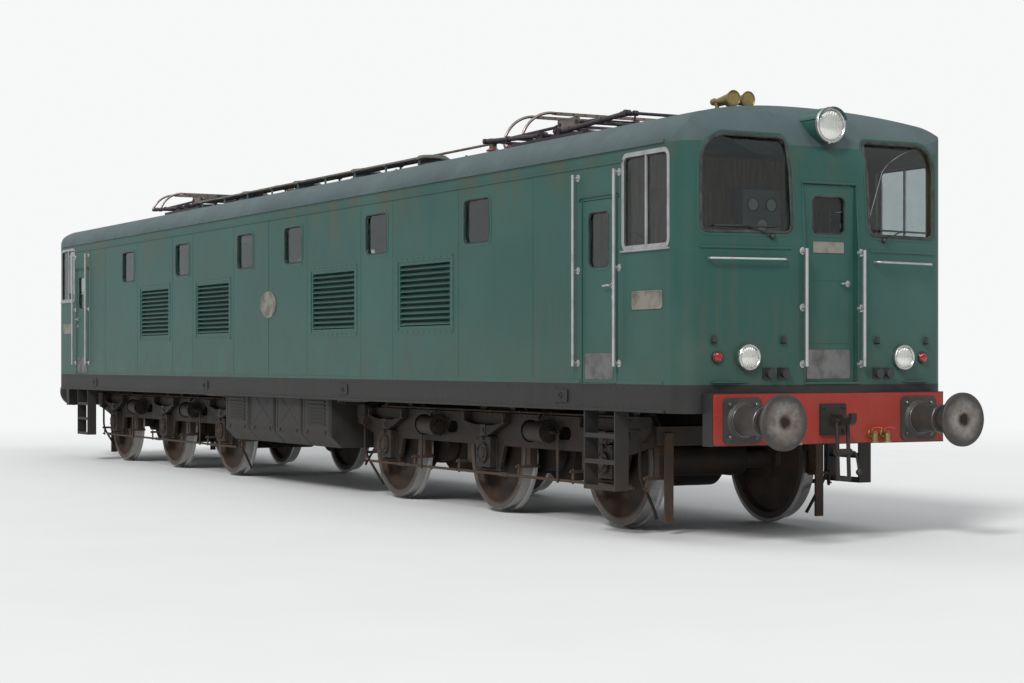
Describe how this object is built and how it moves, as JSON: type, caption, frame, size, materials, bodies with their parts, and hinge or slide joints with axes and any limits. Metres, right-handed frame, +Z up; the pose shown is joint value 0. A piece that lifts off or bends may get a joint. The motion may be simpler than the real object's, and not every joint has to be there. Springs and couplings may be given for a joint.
{
  "type": "electric locomotive",
  "caption": "Long box-bodied main-line electric locomotive with rounded cab ends, three-axle bogies and lowered diamond pantographs on its roof.",
  "frame": {"origin": "on the floor under the middle of the locomotive, at the flanges' lowest point", "axes": "+X along the locomotive towards the front cab, +Y to its left, +Z up"},
  "size_m": [20.656, 3.102, 4.2024],
  "materials": {
    "body_green": "aged satin",
    "roof_grey": "weathered matt",
    "underframe_black": "matt",
    "bogie_black": "matt, dusty",
    "wheel_steel": "satin, bright treads",
    "window_glass": "clear",
    "cab_interior": "satin",
    "desk_paint": "satin",
    "seat_leather": "worn",
    "machine_grey": "matt",
    "buffer_steel": "satin, greased face",
    "coupling_steel": "matt",
    "lamp_bright": "satin",
    "handrail_steel": "worn",
    "conductor": "dull",
    "horn_brass": "dull",
    "pantograph_dark": "matt, sooty",
    "collector_strip": "worn"
  },
  "bodies": {
    "carbody": {"underframe": "underframe_black", "solebar_left": "underframe_black", "solebar_right": "underframe_black", "main_roof": "roof_grey", "side_wall_left": "body_green", "side_wall_right": "body_green", "louvre_grilles": "body_green", "fixed_glass": "window_glass", "cab_bulkheads": "cab_interior", "driver_desks": "desk_paint", "driver_seats": "seat_leather", "machine_block": "machine_grey", "buffers": "buffer_steel", "draw_gear": "coupling_steel", "pipe_cocks": "coupling_steel", "lamps": "lamp_bright", "handrails": "handrail_steel", "cab_steps": "underframe_black", "roof_ventilators": "roof_grey", "roof_conductor": "conductor", "horns": "horn_brass", "equipment_boxes": "underframe_black", "air_reservoirs": "underframe_black", "cab_shell_front": "body_green", "cab_roof_front": "roof_grey", "pantograph_base_front": "pantograph_dark", "cab_shell_rear": "body_green", "cab_roof_rear": "roof_grey", "pantograph_base_rear": "pantograph_dark"},
    "bogie_front": {"bogie_frame_front": "bogie_black", "axleboxes_front": "bogie_black", "traction_motors_front": "bogie_black", "brake_gear_front": "bogie_black"},
    "bogie_rear": {"bogie_frame_rear": "bogie_black", "axleboxes_rear": "bogie_black", "traction_motors_rear": "bogie_black", "brake_gear_rear": "bogie_black"},
    "wheelset_1": {"wheelset_1": "wheel_steel"},
    "wheelset_2": {"wheelset_2": "wheel_steel"},
    "wheelset_3": {"wheelset_3": "wheel_steel"},
    "wheelset_4": {"wheelset_4": "wheel_steel"},
    "wheelset_5": {"wheelset_5": "wheel_steel"},
    "wheelset_6": {"wheelset_6": "wheel_steel"},
    "cab_door_front_left": {"cab_door_front_left": "body_green"},
    "cab_door_front_right": {"cab_door_front_right": "body_green"},
    "cab_door_rear_left": {"cab_door_rear_left": "body_green"},
    "cab_door_rear_right": {"cab_door_rear_right": "body_green"},
    "end_door_front": {"end_door_front": "body_green"},
    "end_door_rear": {"end_door_rear": "body_green"},
    "pantograph_lower_a_front": {"pantograph_lower_a_front": "pantograph_dark"},
    "pantograph_lower_b_front": {"pantograph_lower_b_front": "pantograph_dark"},
    "pantograph_upper_a_front": {"pantograph_upper_a_front": "pantograph_dark"},
    "pantograph_upper_b_front": {"pantograph_upper_b_front": "pantograph_dark"},
    "pantograph_head_front": {"pantograph_head_front": "collector_strip"},
    "pantograph_lower_a_rear": {"pantograph_lower_a_rear": "pantograph_dark"},
    "pantograph_lower_b_rear": {"pantograph_lower_b_rear": "pantograph_dark"},
    "pantograph_upper_a_rear": {"pantograph_upper_a_rear": "pantograph_dark"},
    "pantograph_upper_b_rear": {"pantograph_upper_b_rear": "pantograph_dark"},
    "pantograph_head_rear": {"pantograph_head_rear": "collector_strip"}
  },
  "joints": [
    {"name": "bogie_front_yaw", "type": "hinge", "parent": "carbody", "child": "bogie_front", "pos_m": [5.17, 0, 1], "axis": [0, 0, 1], "range_deg": [-3, 3]},
    {"name": "bogie_rear_yaw", "type": "hinge", "parent": "carbody", "child": "bogie_rear", "pos_m": [-5.17, 0, 1], "axis": [0, 0, 1], "range_deg": [-3, 3]},
    {"name": "wheelset_1_spin", "type": "hinge", "parent": "bogie_front", "child": "wheelset_1", "pos_m": [7.621, 0, 0.64], "axis": [0, 1, 0], "continuous": true},
    {"name": "wheelset_2_spin", "type": "hinge", "parent": "bogie_front", "child": "wheelset_2", "pos_m": [5.17, 0, 0.64], "axis": [0, 1, 0], "continuous": true},
    {"name": "wheelset_3_spin", "type": "hinge", "parent": "bogie_front", "child": "wheelset_3", "pos_m": [2.719, 0, 0.64], "axis": [0, 1, 0], "continuous": true},
    {"name": "wheelset_4_spin", "type": "hinge", "parent": "bogie_rear", "child": "wheelset_4", "pos_m": [-2.719, 0, 0.64], "axis": [0, 1, 0], "continuous": true},
    {"name": "wheelset_5_spin", "type": "hinge", "parent": "bogie_rear", "child": "wheelset_5", "pos_m": [-5.17, 0, 0.64], "axis": [0, 1, 0], "continuous": true},
    {"name": "wheelset_6_spin", "type": "hinge", "parent": "bogie_rear", "child": "wheelset_6", "pos_m": [-7.621, 0, 0.64], "axis": [0, 1, 0], "continuous": true},
    {"name": "cab_door_front_left_hinge", "type": "hinge", "parent": "carbody", "child": "cab_door_front_left", "pos_m": [7.868, 1.43, 2.25], "axis": [0, 0, -1], "range_deg": [0, 85]},
    {"name": "cab_door_front_right_hinge", "type": "hinge", "parent": "carbody", "child": "cab_door_front_right", "pos_m": [7.868, -1.43, 2.25], "axis": [0, 0, 1], "range_deg": [0, 85]},
    {"name": "cab_door_rear_left_hinge", "type": "hinge", "parent": "carbody", "child": "cab_door_rear_left", "pos_m": [-7.868, 1.43, 2.25], "axis": [0, 0, 1], "range_deg": [0, 85]},
    {"name": "cab_door_rear_right_hinge", "type": "hinge", "parent": "carbody", "child": "cab_door_rear_right", "pos_m": [-7.868, -1.43, 2.25], "axis": [0, 0, -1], "range_deg": [0, 85]},
    {"name": "end_door_front_hinge", "type": "hinge", "parent": "carbody", "child": "end_door_front", "pos_m": [9.61, -0.262, 2.3], "axis": [0, 0, 1], "range_deg": [0, 85]},
    {"name": "end_door_rear_hinge", "type": "hinge", "parent": "carbody", "child": "end_door_rear", "pos_m": [-9.61, 0.262, 2.3], "axis": [0, 0, 1], "range_deg": [0, 85]},
    {"name": "pantograph_front_lower_a", "type": "hinge", "parent": "carbody", "child": "pantograph_lower_a_front", "pos_m": [5.88, 0, 4], "axis": [0, -1, 0], "range_deg": [0, 52]},
    {"name": "pantograph_front_lower_b", "type": "hinge", "parent": "carbody", "child": "pantograph_lower_b_front", "pos_m": [5.52, 0, 4], "axis": [0, 1, 0], "range_deg": [0, 52]},
    {"name": "pantograph_front_upper_a", "type": "hinge", "parent": "pantograph_lower_a_front", "child": "pantograph_upper_a_front", "pos_m": [7.17876, 0, 4.05671], "axis": [0, 1, 0], "range_deg": [0, 104]},
    {"name": "pantograph_front_upper_b", "type": "hinge", "parent": "pantograph_lower_b_front", "child": "pantograph_upper_b_front", "pos_m": [4.22124, 0, 4.05671], "axis": [0, -1, 0], "range_deg": [0, 104]},
    {"name": "pantograph_front_head", "type": "hinge", "parent": "pantograph_upper_a_front", "child": "pantograph_head_front", "pos_m": [5.88, 0, 4.11341], "axis": [0, -1, 0], "range_deg": [0, 52]},
    {"name": "pantograph_rear_lower_a", "type": "hinge", "parent": "carbody", "child": "pantograph_lower_a_rear", "pos_m": [-5.88, 0, 4], "axis": [0, 1, 0], "range_deg": [0, 52]},
    {"name": "pantograph_rear_lower_b", "type": "hinge", "parent": "carbody", "child": "pantograph_lower_b_rear", "pos_m": [-5.52, 0, 4], "axis": [0, -1, 0], "range_deg": [0, 52]},
    {"name": "pantograph_rear_upper_a", "type": "hinge", "parent": "pantograph_lower_a_rear", "child": "pantograph_upper_a_rear", "pos_m": [-7.17876, 0, 4.05671], "axis": [0, -1, 0], "range_deg": [0, 104]},
    {"name": "pantograph_rear_upper_b", "type": "hinge", "parent": "pantograph_lower_b_rear", "child": "pantograph_upper_b_rear", "pos_m": [-4.22124, 0, 4.05671], "axis": [0, 1, 0], "range_deg": [0, 104]},
    {"name": "pantograph_rear_head", "type": "hinge", "parent": "pantograph_upper_a_rear", "child": "pantograph_head_rear", "pos_m": [-5.88, 0, 4.11341], "axis": [0, 1, 0], "range_deg": [0, 52]}
  ],
  "couplings": [
    {"joint": "pantograph_front_lower_b", "follows": "pantograph_front_lower_a", "ratio": 1},
    {"joint": "pantograph_front_upper_a", "follows": "pantograph_front_lower_a", "ratio": 2},
    {"joint": "pantograph_front_upper_b", "follows": "pantograph_front_lower_a", "ratio": 2},
    {"joint": "pantograph_front_head", "follows": "pantograph_front_lower_a", "ratio": 1},
    {"joint": "pantograph_rear_lower_b", "follows": "pantograph_rear_lower_a", "ratio": 1},
    {"joint": "pantograph_rear_upper_a", "follows": "pantograph_rear_lower_a", "ratio": 2},
    {"joint": "pantograph_rear_upper_b", "follows": "pantograph_rear_lower_a", "ratio": 2},
    {"joint": "pantograph_rear_head", "follows": "pantograph_rear_lower_a", "ratio": 1}
  ]
}
